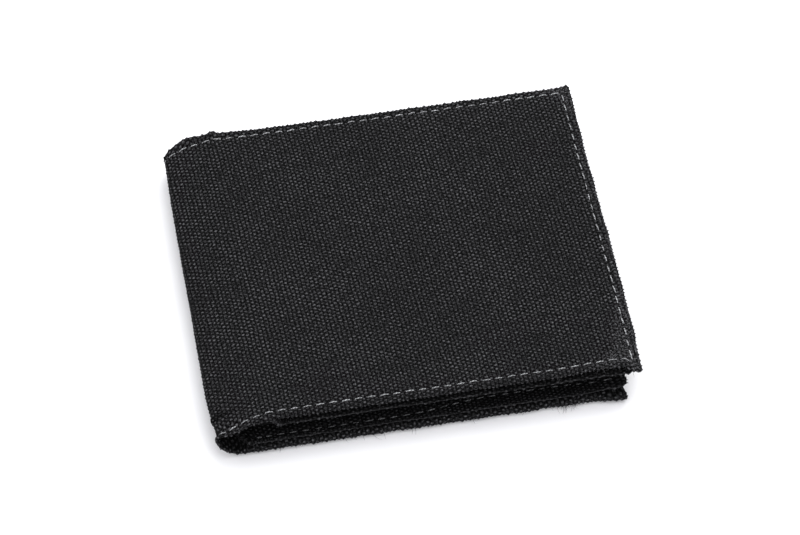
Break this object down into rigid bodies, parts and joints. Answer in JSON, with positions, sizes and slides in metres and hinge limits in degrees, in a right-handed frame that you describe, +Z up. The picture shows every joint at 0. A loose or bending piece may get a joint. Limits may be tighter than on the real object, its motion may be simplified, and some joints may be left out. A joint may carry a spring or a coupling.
{
  "type": "bifold wallet",
  "caption": "Closed bifold wallet in coarse canvas: two stitched halves joined by a soft spine, with a note compartment and stepped card pockets inside.",
  "frame": {"origin": "centre of the closed wallet's footprint, on the table under the rear half", "axes": "+X from the fold to the free ends, +Y from the sewn bottom edge to the pocket mouths, +Z up through the closed wallet"},
  "size_m": [0.112, 0.094, 0.0125],
  "materials": {
    "canvas": "coarse plain-woven black canvas, matt",
    "backing": "non-woven stiffening sheet, matt",
    "lining": "smooth close-woven black lining, slight sheen",
    "pocket_cloth": "finer plain-woven black canvas, matt",
    "tape": "ribbed black binding tape",
    "thread": "light grey twisted sewing thread"
  },
  "bodies": {
    "rear_half": {"rear_shell": "canvas", "rear_backing": "backing", "rear_lining": "lining", "rear_outer_seam_thread": "thread"},
    "spine_wall": {"spine_wall": "canvas"},
    "spine_slope": {"spine_slope": "canvas"},
    "front_half": {"front_shell": "canvas", "front_backing": "backing", "front_lining": "lining", "front_outer_seam_thread": "thread"},
    "rear_pocket_wall": {"rear_inner_panel": "pocket_cloth", "rear_card_sheet_back": "pocket_cloth", "rear_card_sheet_middle": "pocket_cloth", "rear_card_sheet_front": "pocket_cloth", "rear_pocket_binding": "tape", "rear_inner_seam_thread": "thread", "rear_panel_edge_thread": "thread"},
    "front_pocket_wall": {"front_inner_panel": "pocket_cloth", "front_card_sheet_back": "pocket_cloth", "front_card_sheet_middle": "pocket_cloth", "front_card_sheet_front": "pocket_cloth", "front_pocket_binding": "tape", "front_inner_seam_thread": "thread", "front_panel_edge_thread": "thread"}
  },
  "joints": [
    {"name": "fold_rear", "type": "hinge", "parent": "rear_half", "child": "spine_wall", "pos_m": [-0.05389, 0, 0.001], "axis": [0, -1, 0], "range_deg": [0, 80]},
    {"name": "fold_spine", "type": "hinge", "parent": "spine_wall", "child": "spine_slope", "pos_m": [-0.05502, 0, 0.0074], "axis": [0, -1, 0], "range_deg": [0, 80]},
    {"name": "fold_front", "type": "hinge", "parent": "spine_slope", "child": "front_half", "pos_m": [-0.04374, 0, 0.0115], "axis": [0, -1, 0], "range_deg": [0, 20]},
    {"name": "rear_pocket_lift", "type": "hinge", "parent": "rear_half", "child": "rear_pocket_wall", "pos_m": [0, -0.047, 0.00205], "axis": [1, 0, 0], "range_deg": [0, 3.5]},
    {"name": "front_pocket_lift", "type": "hinge", "parent": "front_half", "child": "front_pocket_wall", "pos_m": [0, -0.047, 0.01045], "axis": [-1, 0, 0], "range_deg": [0, 3.5]}
  ],
  "couplings": [
    {"joint": "fold_spine", "follows": "fold_rear", "ratio": 1},
    {"joint": "fold_front", "follows": "fold_rear", "ratio": 0.25},
    {"joint": "rear_pocket_lift", "follows": "fold_rear", "ratio": 0.04375},
    {"joint": "front_pocket_lift", "follows": "fold_rear", "ratio": 0.04375}
  ]
}
